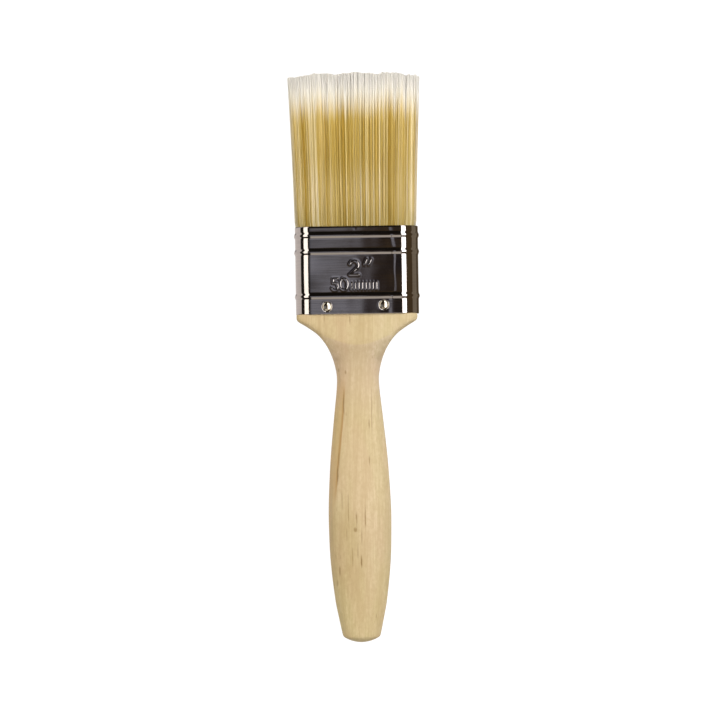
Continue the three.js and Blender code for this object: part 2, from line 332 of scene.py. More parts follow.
def handle_wood():
    """The handle's wood: an amber band along the left of its front, and grain marks of its own."""
    n, colour = wood("handle_wood", WOOD_PALE, WOOD_AMBER, WOOD_BROWN)
    x, y, z = n.split(n.place((1000, 1000, 1000)))
    waver = n.noise(n.place((70, 26, 70)), detail=3, roughness=0.6)
    drop = n.math("SUBTRACT", SKIRT, y)
    front = n.between(z, MID_PLANE - 2, MID_PLANE + 1)
    slope = (BAND_TO[0] - BAND_FROM[0]) / (BAND_TO[1] - BAND_FROM[1])
    edge = n.plus(n.times(n.math("SUBTRACT", drop, BAND_FROM[1]), -slope), x, -BAND_FROM[0],
                  n.times(waver, 1.6), -0.8)
    band = n.times(n.between(edge, 0.4, -0.5), n.between(drop, 21, 33), n.between(drop, 86, 64), front)
    colour = n.mix(n.times(band, 0.7), colour, (0.93, 0.84, 0.67), blend="MULTIPLY")
    rim = n.times(n.between(edge, 0.45, 0.0), n.between(edge, -0.9, -0.1), n.between(drop, 27, 35),
                  n.between(drop, 80, 66), front)
    colour = n.mix(n.times(rim, 0.9), colour, (0.77, 0.62, 0.40), blend="MULTIPLY")
    board = n.times(n.between(drop, 30, 20), n.between(n.attribute("scooped"), 1, 0))
    colour = n.mix(board, colour, (0.955, 0.935, 0.91), blend="MULTIPLY")
    # Painted shade: the scooped neck below the head gets a cool, slightly darker cast.
    colour = n.mix(n.attribute("scooped"), colour, (0.975, 0.95, 1.04), blend="MULTIPLY")
    shade = n.times(n.between(x, 2.5, -6), n.between(drop, 76, 88), n.between(drop, 122, 106), front)
    colour = n.mix(n.times(shade, 0.9), colour, (0.91, 0.88, 0.81), blend="MULTIPLY")
    # Painted light: the right of the front, below the head, is made paler and bluer, standing in for a
    # cool light from the right.
    painted_cool_light_right = n.times(n.between(x, 3, 11), n.between(drop, 55, 22), front)
    colour = n.mix(painted_cool_light_right, colour, (1.08, 1.13, 1.20), blend="MULTIPLY")
    lower = n.between(drop, 90, 125)
    colour = n.mix(lower, colour, (1.01, 1.02, 0.95), blend="MULTIPLY")
    n.drive("Base Color", with_grain_marks(n, colour, x, drop, waver, front))
    return n.material


def nickel():
    """Bright nickel-plated steel with fine rolling lines across the brush."""
    n = Material("nickel_plate", Metallic=1.0)
    lines = n.noise(n.place((28, 1900, 60)), detail=4, roughness=0.7)
    broad = n.noise(n.place((50, 380, 60)), detail=2)
    smudges = n.noise(n.place((150, 120, 150)), detail=3, roughness=0.6)
    colour = n.mix(n.between(lines, 0.3, 0.7, 0.0, 0.6), NICKEL_BRIGHT, NICKEL_DULL)
    colour = n.mix(n.between(smudges, 0.52, 0.8, 0.0, 0.4), colour, NICKEL_SMUDGED)
    n.drive("Base Color", colour)
    polish = n.between(lines, 0.3, 0.75, 0.05, 0.1)
    n.drive("Roughness", n.plus(polish, n.between(smudges, 0.5, 0.8, 0.0, 0.05)))
    n.bump(n.plus(lines, n.times(broad, 2.5)), 0.000006, 1.0)
    return n.material


def nail_metal():
    """Plated steel nails, a little worn and warmer than the ferrule."""
    n = Material("nail_plate", Metallic=1.0)
    worn = n.noise(n.place((900, 900, 900)), detail=3, roughness=0.6)
    n.drive("Base Color", n.mix(n.between(worn, 0.4, 0.65), NAIL_BRIGHT, NAIL_WORN))
    n.drive("Roughness", n.between(worn, 0.35, 0.7, 0.1, 0.26))
    n.bump(worn, 0.00003, 0.5)
    return n.material


def filament_plastic():
    """Tapered filament: gold, bleaching to white towards its tips, each strand in its own tone."""
    n = Material("filament_plastic", Specular_IOR_Level=0.3)
    from_tip = n.plus(n.attribute("from_tip_mm"), n.attribute("bleach_shift_mm"))
    tone = n.attribute("tone")
    fine = n.noise(n.place((4200, 120, 4200)), detail=2)
    x, _, _ = n.split(n.place((1000, 1000, 1000)))
    gold = n.mix(n.between(tone, 0.0, 0.5, smooth=False), GOLD_DEEP, GOLD)
    gold = n.mix(n.between(tone, 0.5, 1.0, smooth=False), gold, GOLD_PALE)
    # Painted shade: the gold darkens towards the ferrule's mouth.
    gold = n.mix(n.between(from_tip, 49, 62), gold, (0.75, 0.74, 0.66), blend="MULTIPLY")
    middle = n.between(n.math("ABSOLUTE", n.plus(x, 2.0)), 16, 5, 0.5, 1.0)
    deepest = n.times(n.between(from_tip, 13, 20), n.between(from_tip, 48, 32), middle)
    gold = n.mix(deepest, gold, (0.87, 0.81, 0.52), blend="MULTIPLY")
    # Painted shade: the bleached white is darker over the last few millimetres at the tips.
    white = n.mix(n.between(from_tip, 1, 8), BLEACHED_TIP_SHADE, BLEACHED)
    white = n.mix(tone, white, (1.06, 1.06, 1.06), blend="MULTIPLY")
    colour = n.mix(n.between(from_tip, 5, 19), white, gold)
    # Painted light: strands at the two edges of the head are paler, as if lit through from the side.
    colour = n.mix(n.attribute("painted_fringe_light"), colour, PAINTED_FRINGE_LIGHT)
    colour = n.mix(n.between(fine, 0.35, 0.75, 0.0, 0.2), colour, (0.62, 0.55, 0.42), blend="MULTIPLY")
    n.drive("Base Color", colour)
    n.drive("Roughness", n.between(fine, 0.3, 0.7, 0.45, 0.6))
    return n.material


def cured_epoxy():
    """Amber resin that sets the filament, cloudy and a little bubbly."""
    n = Material("cured_epoxy")
    cloud = n.noise(n.place((220, 220, 220)), detail=4, roughness=0.6)
    bubbles = n.noise(n.place((1900, 1900, 1900)), detail=1)
    n.drive("Base Color", n.mix(n.between(cloud, 0.35, 0.7), EPOXY_CLEAR, EPOXY_CLOUDED))
    n.drive("Roughness", n.between(cloud, 0.3, 0.7, 0.18, 0.4))
    n.bump(bubbles, 0.0001, 0.4)
    return n.material


# Handle

HEAD_HALF_WIDTH = 24.8
HEAD_HALF_THICKNESS = 7.4
NECK_DROP = 26.3
NECK_HALF_THICKNESS = 5.6
NECK_SWEEP = 0.0096
HEAD_FADE = 23.3
END_DROP = 134.8
END_RADIUS = 14.1
END_POWER = 22
BOARD_POWER = 9
OVAL_POWER = 2.2
CREASE_POWER = 60
HANDLE_OUTLINE = [  # drop below the ferrule, half-width
    (0, HEAD_HALF_WIDTH), (1.4, HEAD_HALF_WIDTH), (2.2, 24.6), (3.0, 23.9), (4.7, 21.1), (8.0, 16.5),
    (12.1, 13.1), (16.6, 10.8), (22.8, 9.05), (28.0, 8.65), (43.4, 10.2), (59.9, 11.8), (76.3, 12.75),
    (85.3, 12.9), (101.1, 12.4), (117.5, 10.65), (125.7, 9.1), (END_DROP, 7.2),
]
GRIP_THICKNESS = [  # drop below the ferrule, half-thickness
    (NECK_DROP, NECK_HALF_THICKNESS), (44.3, 6.5), (64.3, 7.6), (84.3, MID_PLANE), (104.3, 7.7),
    (119.3, 6.5), (END_DROP, 5.0),
]
OVAL_SPREAD = [  # drop below the ferrule, how far the oval reaches beyond the board's edge
    (0, 16), (2.3, 8), (5.3, 6.5), (10.3, 7), (15.3, 3.5), (HEAD_FADE, 0),
]
HANDLE_SIDES = 224
END_ZONE = 5.0  # the stretch of the round end where the rings crowd together
EDGE_EASE = 0.12


def power_sum(a, b, power):
    """A root of summed powers: near the larger of the two, with a soft change between them."""
    return (a**power + b**power) ** (1 / power)


def end_closure(drop, half_width):
    """How much of the section is left: 1 along the grip, 0 at the tip of the round end."""
    left = np.clip(END_DROP - drop, 1e-6, END_RADIUS)
    limit = np.sqrt(2 * END_RADIUS * left - left**2)
    ratio = np.where(left < END_RADIUS, half_width / limit, 0)
    return 1 / power_sum(np.ones_like(ratio), ratio, END_POWER)


def handle_rings(drop, angle):
    """The handle's sections: an oval that widens towards the ferrule, cut to a board's outline."""
    outline = through(HANDLE_OUTLINE, drop)
    closure = end_closure(drop, outline)
    width = outline * closure
    swept = NECK_HALF_THICKNESS + NECK_SWEEP * (NECK_DROP - drop) ** 2
    thickness = np.where(drop < NECK_DROP, swept, through(GRIP_THICKNESS, drop)) * closure**0.6
    depth = np.minimum(thickness, HEAD_HALF_THICKNESS + 0.8 * smoothstep(drop, NECK_DROP, 85))
    widening = 1 + through(OVAL_SPREAD, drop) / width
    board_fade = 1 + 0.5 * smoothstep(drop, HEAD_FADE / 2, HEAD_FADE * 1.25)

    def reach_at(c, s):
        board = power_sum(c, s * depth / HEAD_HALF_THICKNESS, BOARD_POWER) / board_fade
        oval = power_sum(c / widening, s * depth / thickness, OVAL_POWER)
        return 1 / power_sum(board, oval, CREASE_POWER), smoothstep(oval / board, 0.993, 1.004)

    reach, scooped = reach_at(np.abs(np.cos(angle)), np.abs(np.sin(angle)))
    side, _ = reach_at(np.ones_like(angle), np.zeros_like(angle))
    scooped = scooped * smoothstep(drop, 46, 26)
    return reach / side * width * np.cos(angle), reach * depth * np.sin(angle), scooped


def handle_drops():
    """Drops of the handle's rings, from its end up: closest in the head and the round end."""
    head = np.arange(0.3, HEAD_FADE, 0.22)
    grip = np.arange(HEAD_FADE, END_DROP - END_ZONE, 0.9)
    end = END_DROP - END_ZONE * np.linspace(1, 0, 32)[1:-1] ** 2
    drops = np.concatenate([[0.02, 0.12], head, grip, end, [END_DROP - 0.001]])
    return drops[::-1, None]


def tenon_rings(angle):
    """The part of the handle that the ferrule hides, which fills the bore, eased at its top."""
    inset = BORE_CORNER - CLEARANCE
    x = np.sign(np.cos(angle)) * CORE_X + inset * np.cos(angle)
    z = np.sign(np.sin(angle)) * CORE_Z + inset * np.sin(angle)
    plain = (SKIRT + 0.04, SKIRT + 4, TENON_TOP - 0.6)
    rings = [np.stack([x, np.full(len(x), y), z + MID_PLANE], 1) for y in plain]
    rings.append(np.stack([x * 0.985, np.full(len(x), TENON_TOP), z * 0.95 + MID_PLANE], 1))
    return np.stack(rings)


def make_handle(material):
    """The whole handle as one closed skin, from its round end to the top of its tenon."""
    angle = (np.arange(HANDLE_SIDES) + 0.5) * 2 * np.pi / HANDLE_SIDES
    drop = handle_drops()
    x, z, scooped = handle_rings(drop, angle[None, :])
    x = x - np.sign(x) * EDGE_EASE * np.exp(-drop / EDGE_EASE)
    visible = np.stack([x, np.broadcast_to(SKIRT - drop, x.shape), z + MID_PLANE], 2)
    rings = np.concatenate([visible, tenon_rings(angle)])
    ends = [[0, SKIRT - END_DROP, MID_PLANE], [0, TENON_TOP, MID_PLANE]]
    points = np.concatenate([rings.reshape(-1, 3), ends])
    rows, last = len(rings), rings[..., 0].size
    faces, _ = grid_faces(rows, HANDLE_SIDES)
    caps = np.concatenate([cap_faces(0, HANDLE_SIDES, last, flip=True),
                           cap_faces(last - HANDLE_SIDES, HANDLE_SIDES, last + 1, flip=False)])
    piece = new_piece("handle_turned", points, [faces[:, ::-1], caps[:, ::-1]], material)
    on_visible = np.zeros(len(points))
    on_visible[:scooped.size] = scooped.ravel()
    set_attribute(piece, "scooped", on_visible)
    return piece


# Ferrule

BEAD_RISE = 0.4
BEAD_HALF_WIDTH = 1.55
BEADS = [MOUTH - depth for depth in (3.7, 10.5, 28.6)]
RIM_INSET = 0.12  # the first and last full rings, inside the rounded rims
SEAM_LAP = 0.5
SEAM_HALF_HEIGHT = 2.3
FRONT_CROWN = 0.2
BACK_CROWN = 0.0
STAMP_RISE = 0.065
STAMP_MIDDLE = (BEADS[1] + BEADS[2]) / 2
CREASE_LINE = [  # depth below the mouth, distance right of the middle
    (0, 13.2), (1.5, 13.4), (7, 14.4), (11, 15.3), (18, 15.2), (27, 15.2), (30, 12.8), (36, 12.6),
]
NAIL_HOLLOW_DEPTH = 0.34
NAIL_LIP_RISE = 0.006
NAIL_NAMES = ["front_nail_left", "front_nail_right", "back_nail_left", "back_nail_right"]


def is_on_front(name):
    """Whether a nail is in the face that looks up."""
    low, high = edges(name)
    return low[2] + high[2] > 2 * MID_PLANE


def arc(centre, radii, start, end, count=28):
    """Points along an elliptical arc, with angles in degrees."""
    turn = np.radians(np.linspace(start, end, count))
    return np.stack([centre[0] + radii[0] * np.cos(turn), centre[1] + radii[1] * np.sin(turn)], 1)


def line(*points):
    """Points along straight strokes from each point to the next."""
    points = np.array(points, float)
    return np.concatenate([np.linspace(a, b, 40) for a, b in zip(points, points[1:])])


def two(x, y, width, height):
    """A plain single-stroke numeral 2."""
    r = width / 2
    top = arc((x + r, y + height - r), (r, r), 165, -38)
    return np.concatenate([top, line(top[-1], (x, y), (x + width, y))])


def five(x, y, width, height):
    """A plain single-stroke numeral 5."""
    bowl = arc((x + width * 0.45, y + height * 0.32), (width * 0.5, height * 0.32), 118, -150)
    stem = line((x + width * 0.92, y + height), (x + width * 0.18, y + height), bowl[0])
    return np.concatenate([stem, bowl])


def nought(x, y, width, height):
    """A plain single-stroke 0."""
    return arc((x + width / 2, y + height / 2), (width / 2, height / 2), 0, 360, 60)


def stamp_strokes():
    """A plain size mark: 2 with two slanted ticks, above 50 with a row of upright ticks."""
    top, low = STAMP_MIDDLE - 0.4, STAMP_MIDDLE - 6.4
    strokes = [two(-2.6, top, 3.5, 5.7), five(-10.0, low, 2.5, 4.5), nought(-6.7, low, 3.1, 4.5)]
    ticks = [line((3.4 + 1.8 * i, top + 4.2), (4.3 + 1.8 * i, top + 6.2)) for i in range(2)]
    ticks += [line((-2.0 + 1.45 * i, low + 0.2), (-2.0 + 1.45 * i, low + 2.7)) for i in range(8)]
    return np.concatenate(strokes), np.concatenate(ticks)


def stamp_height(x, y):
    """Relief of the stamp on the front face: thin raised strokes in a shallow hollow."""
    near = (np.abs(x) < 12) & (np.abs(y - STAMP_MIDDLE) < 10)
    height = np.zeros_like(x)
    points = np.stack([x[near], y[near]], 1)
    for strokes, rise in zip(stamp_strokes(), (STAMP_RISE, 0.75 * STAMP_RISE)):
        closest = np.full(len(points), 9.0)
        for part in np.array_split(strokes, 40):
            gap = np.linalg.norm(points[:, None] - part[None], axis=2).min(1)
            closest = np.minimum(closest, gap)
        height[near] += rise * (1 - smoothstep(closest, 0.04, 0.32))
        height[near] -= 0.5 * rise * np.exp(-(((closest - 0.5) / 0.4) ** 2))
    return height


def bead_height(y):
    """Rise of the rolled beads that run round the ferrule."""
    away = np.min([np.abs(y - bead) / BEAD_HALF_WIDTH for bead in BEADS], axis=0)
    return BEAD_RISE * (1 + np.cos(np.pi * np.minimum(away, 1))) / 2


def dish(y):
    """How far the sheet's long edges are drawn in between the two lower beads."""
    between = np.clip((y - BEADS[2]) / (BEADS[1] - BEADS[2]), 0, 1)
    return -0.12 * np.sin(np.pi * between) ** 2


def crease(x, y):
    """A soft crease along the right of a face, gentle on its inner side and steep on its outer one."""
    past = x - through(CREASE_LINE, MOUTH - y)
    by_mouth, by_skirt = smoothstep(y, BEADS[1], BEADS[1] + 2), smoothstep(y, BEADS[2], BEADS[2] - 2)
    outer_width = 0.55 + 0.5 * by_mouth + 0.9 * by_skirt
    return -0.06 * np.exp(-((past / np.where(past < 0, 1.7, outer_width)) ** 2))


def face_height(x, y, crown):
    """How far a face stands proud of a true flat: a slight crown, dished edges, ripples and a crease."""
    crown = crown * (1 - (x / CORE_X) ** 2)
    in_panel = smoothstep(y, BEADS[1] + 1, BEADS[1] - 2) * smoothstep(y, BEADS[2] - 1, BEADS[2] + 2)
    ripple = -0.0047 * np.sin(0.86 * (x - 4.5 - 4.5 * in_panel)) + 0.003 * np.sin(0.5 * x - 0.6 * y)
    pip = 0.03 * np.exp(-((x + 0.4) ** 2 + (y - MOUTH + 0.9) ** 2) / 0.35)
    fade = smoothstep(np.abs(x), CORE_X + 0.1, CORE_X - 3)
    return dish(y) * (x / CORE_X) ** 4 + crown + (ripple + pip) * fade + crease(x, y)


def section_samples():
    """Points round the bore: core x and z, and the outward normal's angle. The front is finest."""
    right = np.linspace(0, 90, 46)[:-1]
    left = np.linspace(90, 180, 25)
    fine = 14.6
    front = np.concatenate([np.arange(CORE_X, fine, -0.3), np.arange(fine, -fine, -0.16),
                            np.arange(-fine, -CORE_X, -0.45), [-CORE_X]])
    back = np.linspace(-CORE_X, CORE_X, 72)
    stretches = [(CORE_X, CORE_Z, right), (front, CORE_Z, 90.0), (-CORE_X, CORE_Z, left[1:]),
                 (-CORE_X, -CORE_Z, left[:-1] + 90), (back, -CORE_Z, 270.0),
                 (CORE_X, -CORE_Z, right + 272)]
    return np.concatenate([np.stack(np.broadcast_arrays(*stretch), 1) for stretch in stretches])


def ferrule_heights():
    """Heights of the outer rings, close together on the beads, the stamp and the nail hollows."""
    steps = [np.arange(SKIRT + RIM_INSET, MOUTH - 0.1, 0.45)]
    steps += [np.arange(bead - BEAD_HALF_WIDTH, bead + BEAD_HALF_WIDTH, 0.13) for bead in BEADS]
    steps += [np.arange(BEADS[2] + 2, BEADS[1] - 1.4, 0.2), np.arange(SKIRT + 0.4, BEADS[2] - 1.2, 0.2)]
    heights = np.unique(np.round(np.concatenate(steps), 2))
    return heights[np.concatenate([[True], np.diff(heights) > 0.07])]


def inner_heights():
    """Heights of the rings inside the ferrule, which follow the beads."""
    rings = [bead + BEAD_HALF_WIDTH * np.array([-1, -0.5, 0, 0.5, 1]) for bead in BEADS[::-1]]
    return np.concatenate([[SKIRT + RIM_INSET], *rings, [MOUTH - RIM_INSET]])


def nail_hollow(name, x, y):
    """The hollow under a nail's head, with a faint lip round it."""
    low, high = edges(name)
    away = np.hypot(x - (low[0] + high[0]) / 2, y - (low[1] + high[1]) / 2)
    lip = NAIL_LIP_RISE * np.exp(-(((away - 2.5) / 0.3) ** 2))
    return lip - NAIL_HOLLOW_DEPTH * (1 - smoothstep(away, 1.9, 2.1))


def ferrule_relief(core_x, degrees, heights):
    """How far each outer point stands proud of a plain wall."""
    x = np.broadcast_to(core_x[None], (len(heights), len(core_x)))
    y = np.broadcast_to(heights[:, None], x.shape)
    front, back = degrees == 90, degrees == 270
    relief = bead_height(y).copy()
    relief[:, front] += face_height(x[:, front], y[:, front], FRONT_CROWN)
    relief[:, back] += face_height(-x[:, back], y[:, back], BACK_CROWN)
    round_corner = smoothstep(np.abs(np.abs(degrees - 180) - 90), 90, 0)
    relief += dish(y) * round_corner * ~(front | back)
    relief[:, front] += stamp_height(x[:, front], y[:, front])
    for name in NAIL_NAMES:
        side = front if is_on_front(name) else back
        relief[:, side] += nail_hollow(name, x[:, side], y[:, side])
    return relief


def make_ferrule(material):
    """One closed skin: up the outside, over the mouth's rim, down the inside and round the skirt."""
    core_x, core_z, degrees = section_samples().T
    normal_x, normal_z = np.cos(np.radians(degrees)), np.sin(np.radians(degrees))
    side_z = np.abs(core_z + BORE_CORNER * normal_z)
    lap = SEAM_LAP * (normal_x > 0) * (1 - smoothstep(side_z, SEAM_HALF_HEIGHT, SEAM_HALF_HEIGHT + 0.3))

    def ring(y, offset):
        reach = BORE_CORNER + offset
        return np.stack([core_x + reach * normal_x, np.full(len(core_x), y),
                         core_z + reach * normal_z + MID_PLANE], 1)

    heights = ferrule_heights()
    outer = WALL + ferrule_relief(core_x, degrees, heights) + lap
    rim_outer, rim_inner = WALL * 0.7 + lap * 0.9, WALL * 0.25 + lap * 0.1
    inside = inner_heights()[::-1]
    rings = [ring(SKIRT, rim_outer)]
    rings += [ring(y, offset) for y, offset in zip(heights, outer)]
    rings += [ring(MOUTH, rim_outer), ring(MOUTH, rim_inner)]
    rings += [ring(y, offset) for y, offset in zip(inside, bead_height(inside))]
    rings += [ring(SKIRT, rim_inner)]
    faces, uv = grid_faces(len(rings), len(core_x), closed_rows=True)
    points = np.concatenate(rings)
    uv = uv.reshape(-1, 2)[:, ::-1]
    return new_piece("ferrule_plated", points, faces[:, ::-1], material, uv)


# Nails

FACE = BORE_HALF_THICKNESS + WALL  # height of a face above the mid-plane
NAIL_SIDES = 40
SHANK_RADIUS = 0.7
NAIL_RIM = FACE - 0.12  # where the dome starts


def nail_profile(radius, length):
    """Radius and height of a nail's rings, from its point, up its shank and over its domed head."""
    point = FACE - length + 0.4
    profile = [(0, point), (SHANK_RADIUS / 2, point + 0.5), (SHANK_RADIUS, point + 1.2),
               (SHANK_RADIUS, FACE - 0.28), (radius * 0.98, FACE - 0.27), (radius, NAIL_RIM)]
    for t in np.linspace(1, 0, 15)[1:-1]:
        profile.append((radius * t, NAIL_RIM + 0.3 * (1 - t**2) + 0.2 * (1 - t**8)))
    return profile


def nail_rings(profile, radius, seed):
    """A nail's vertices round its own axis, its head a little out of round, off centre and askew."""
    draw = np.random.default_rng(seed)
    turn = np.arange(NAIL_SIDES) * 2 * np.pi / NAIL_SIDES
    oval, lobed = np.cos(2 * turn + draw.uniform(0, 6)), np.cos(3 * turn + draw.uniform(0, 6))
    wobble = 1 + 0.03 * oval + 0.02 * lobed
    off_centre, tilt = draw.uniform(-0.2, 0.2, 2), (-0.12, 0.04) + draw.uniform(-0.02, 0.02, 2)
    rings = []
    for ring_radius, height in profile[1:]:
        on_head = height > FACE - 0.2
        x, y = ring_radius * wobble * np.cos(turn), ring_radius * wobble * np.sin(turn)
        leaning = height + on_head * (tilt[0] * x + tilt[1] * y)
        shift = off_centre * (1 - ring_radius / radius) * on_head
        rings.append(np.stack([x + shift[0], y + shift[1], leaning], 1))
    ends = [[0, 0, profile[0][1]], [*off_centre, profile[-1][1] - 0.01]]
    return np.concatenate([*rings, ends])


def make_nail(name, material, seed):
    """A small domed nail, in the CAD nail's own place."""
    low, high = edges(name)
    up = 1 if is_on_front(name) else -1
    radius = (high[0] - low[0]) / 2
    profile = nail_profile(radius, high[2] - low[2])
    middle = [(low[0] + high[0]) / 2, (low[1] + high[1]) / 2, MID_PLANE]
    points = middle + nail_rings(profile, radius, seed) * [1, 1, up]
    rows = len(profile) - 1
    last = rows * NAIL_SIDES
    faces, _ = grid_faces(rows, NAIL_SIDES)
    caps = np.concatenate([cap_faces(0, NAIL_SIDES, last, flip=True),
                           cap_faces(last - NAIL_SIDES, NAIL_SIDES, last + 1, flip=False)])
    if up < 0:
        faces, caps = faces[:, ::-1], caps[:, ::-1]
    piece = new_piece(f"{name}_domed", points, [faces, caps], material)
    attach(piece, "grip")
    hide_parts(name)


# Filament

TIP_HALF_WIDTH = 27.0
MOUTH_HALF_WIDTH = 25.0
HEAD_THICKNESS = [  # height, half-thickness
    (MOUTH, 7.1), (MOUTH + 8, 7.25), (MOUTH + 28, 7.8), (MOUTH + 48, 7.0), (TIPS, 5.4),
]
MIDDLE_SHARE = 0.32  # the middle layer's share of the half-thickness
OUTER_SHARE = 0.34  # where the front and back layers start
LAYERS = {  # shares of the half-thickness between which each layer lies, and its strands
    "front": (OUTER_SHARE, 1.0, 3600),
    "middle": (-MIDDLE_SHARE, MIDDLE_SHARE, 2700),
    "back": (-1.0, -OUTER_SHARE, 3600),
}
STRAND_RADIUS = 0.152
STRAND_SIDES = 3
ROOTS = SETTING_LOW + 2.6
LEVELS_FROM = MOUTH - 2.5
STRAND_LEVELS = [0.08, 0.18, 0.3, 0.42, 0.54, 0.7, 1.0]  # shares of the way from there to the tip
STRAND_TAPER = [1, 1, 1, 1, 1, 1.05, 1.15, 1.3, 1.3]  # girth at each ring, root first
CLUMPS = 230
CLUMP_DEPTH = 4.5  # millimetres that a whole share counts for when clumps gather
STRAYS = 0.012
SHORT_STRANDS = 0.1


def quasi_random(count):
    """Evenly spread points in the unit square, by steps of the plastic number's powers."""
    ratio = 1.32471795724474602596  # the real root of x**3 = x + 1
    steps = np.arange(1, count + 1)
    return np.stack([(0.5 + steps / ratio) % 1, (0.5 + steps / ratio**2) % 1], 1)


def bore_half_thickness(x, inset):
    """Half the bore's thickness at x, less an inset all round."""
    corner = BORE_CORNER - inset
    past = np.clip(np.abs(x) - CORE_X, 0, corner)
    return CORE_Z + np.sqrt(corner**2 - past**2)


def free_half_width(y):
    """Half the filament's width: held by the ferrule, then flaring to the tips."""
    free = np.clip((y - MOUTH) / (TIPS - MOUTH), 0, 1)
    held = BORE_HALF_WIDTH - CLEARANCE
    bulge = (MOUTH_HALF_WIDTH - held) * smoothstep(y, MOUTH - 0.3, MOUTH + 1.0)
    return held + bulge + (TIP_HALF_WIDTH - MOUTH_HALF_WIDTH) * free**1.45


def free_half_thickness(x, half_width, y):
    """Half the free head's thickness, with rounded edges."""
    edge = np.clip(np.abs(x) / half_width, 0, 1)
    return through(HEAD_THICKNESS, y) * (1 - edge**5) ** (1 / 3.2)


def trim_line(x):
    """Where the filament was cut, across the brush, as a height from its longest tips."""
    side = np.abs(x) / TIP_HALF_WIDTH
    return -0.45 - 1.3 * side**3 + 0.32 * np.sin(0.42 * x + 1.3) + 0.16 * np.sin(1.1 * x)


class Clumps:
    """Loose groups of strands that share a lean, a tone and a length."""

    def __init__(self, across, share, low, high):
        self.across = random.uniform(-1, 1, CLUMPS)
        self.share = random.uniform(low, high, CLUMPS)
        gap_x = (across[:, None] - self.across) * TIP_HALF_WIDTH
        gap_z = (share[:, None] - self.share) * CLUMP_DEPTH
        self.of_strand = (gap_x**2 + gap_z**2).argmin(1)

    def draw(self, spread):
        return random.normal(0, spread, CLUMPS)[self.of_strand]


def strand_heights(ends):
    """Heights of every strand's rings, from its root in the setting to its tip."""
    held = [np.full(len(ends), ROOTS), np.full(len(ends), LEVELS_FROM)]
    return np.stack(held + [LEVELS_FROM + level * (ends - LEVELS_FROM) for level in STRAND_LEVELS])


def held_depth(layer, share, half_thickness):
    """Where strands lie across the bore's thickness: the spacers part the layers."""
    if layer == "middle":
        return share / MIDDLE_SHARE * np.minimum(1.9, 0.4 * half_thickness)
    near = np.minimum(3.8, 0.5 * half_thickness)
    outwards = np.clip((np.abs(share) - OUTER_SHARE) / (1 - OUTER_SHARE), 0, 1)
    return np.sign(share) * (near + (half_thickness - near) * outwards)


def strand_centres(layer, across, share, clumps, heights):
    """Centre lines: packed inside the ferrule, then spreading into the head and gathering in clumps."""
    count = len(across)
    pull = random.uniform(0.0, 0.05, CLUMPS)[clumps.of_strand]
    lift, lean = clumps.draw(0.05), clumps.draw(0.12) + random.normal(0, 0.14, count)
    sway, tilt = random.normal(0, 0.09, count), random.normal(0, 0.07, count)
    stray = random.random(count) < STRAYS
    lean = np.where(stray, random.normal(0, 1.3, count), lean)
    centres = []
    for y in heights:
        free = np.clip((y - MOUTH) / (TIPS - MOUTH), 0, 1)
        out = smoothstep(y, MOUTH - 1, MOUTH + 10)
        half_width = free_half_width(y)
        x = across * half_width
        held = held_depth(layer, share, bore_half_thickness(x, CLEARANCE + 0.1))
        z = held + (share * free_half_thickness(x, half_width, y) - held) * out
        to_x = clumps.across[clumps.of_strand] * half_width
        to_z = clumps.share[clumps.of_strand] * free_half_thickness(to_x, half_width, y)
        gather = pull * free**1.2
        x = x + (to_x - x) * gather + lean * free**1.5 + sway * np.sin(np.pi * free)
        z = z + (to_z - z) * gather * 0.8
        z = z + (lift * np.sin(np.pi * np.minimum(free * 1.25, 1)) + tilt * free**1.5) * out
        limit = half_width + 0.15
        centres.append(np.stack([np.clip(x, -limit, limit), y, z + MID_PLANE], 1))
    return np.stack(centres)


def strand_skin(centres, girth):
    """Vertices and faces of all strands: a ring round each centre, and a point at the tip."""
    rings, count, _ = centres.shape
    turn = (np.arange(STRAND_SIDES) + 0.5) * 2 * np.pi / STRAND_SIDES
    turn = turn[None] + random.uniform(0, 2 * np.pi, count)[:, None]
    radius = (np.array(STRAND_TAPER)[:, None] * girth)[:, :, None]
    skin = np.repeat(centres[:, :, None, :], STRAND_SIDES, axis=2)
    skin[..., 0] += radius * np.cos(turn)
    skin[..., 2] += radius * np.sin(turn)
    point = centres[-1] + [0, 0.1, 0]
    vertices = np.concatenate([skin.transpose(1, 0, 2, 3).reshape(count, -1, 3), point[:, None]], 1)
    unit, unit_uv = grid_faces(rings, STRAND_SIDES)
    tip = cap_faces((rings - 1) * STRAND_SIDES, STRAND_SIDES, rings * STRAND_SIDES, flip=True)
    start = (np.arange(count) * (rings * STRAND_SIDES + 1))[:, None, None]
    quads = (unit[:, ::-1][None] + start).reshape(-1, 4)
    tips = (tip[None] + start).reshape(-1, 3)
    butts = (np.arange(STRAND_SIDES)[None] + start).reshape(-1, STRAND_SIDES)
    return vertices.reshape(-1, 3), [quads, tips, butts], unit_uv[:, ::-1]


def strand_uvs(count, unit_uv):
    """One small upright cell of the texture square for each strand."""
    columns = 160
    margin = 0.12
    size = np.array([1 / columns, 1 / math.ceil(count / columns)])
    corner = np.stack([np.arange(count) % columns, np.arange(count) // columns], 1) * size

    def in_cell(uv):
        inset = margin + (1 - 2 * margin) * np.asarray(uv)
        return (corner[:, None] + inset[None] * size).reshape(-1, 2)

    tip = np.tile([[0.5, 1.0], [0.4, 0.98], [0.6, 0.98]], (STRAND_SIDES, 1))
    butt = np.tile([[0.4, 0.0]], (STRAND_SIDES, 1))
    return np.concatenate([in_cell(unit_uv.reshape(-1, 2) * [1, 0.98]), in_cell(tip), in_cell(butt)])


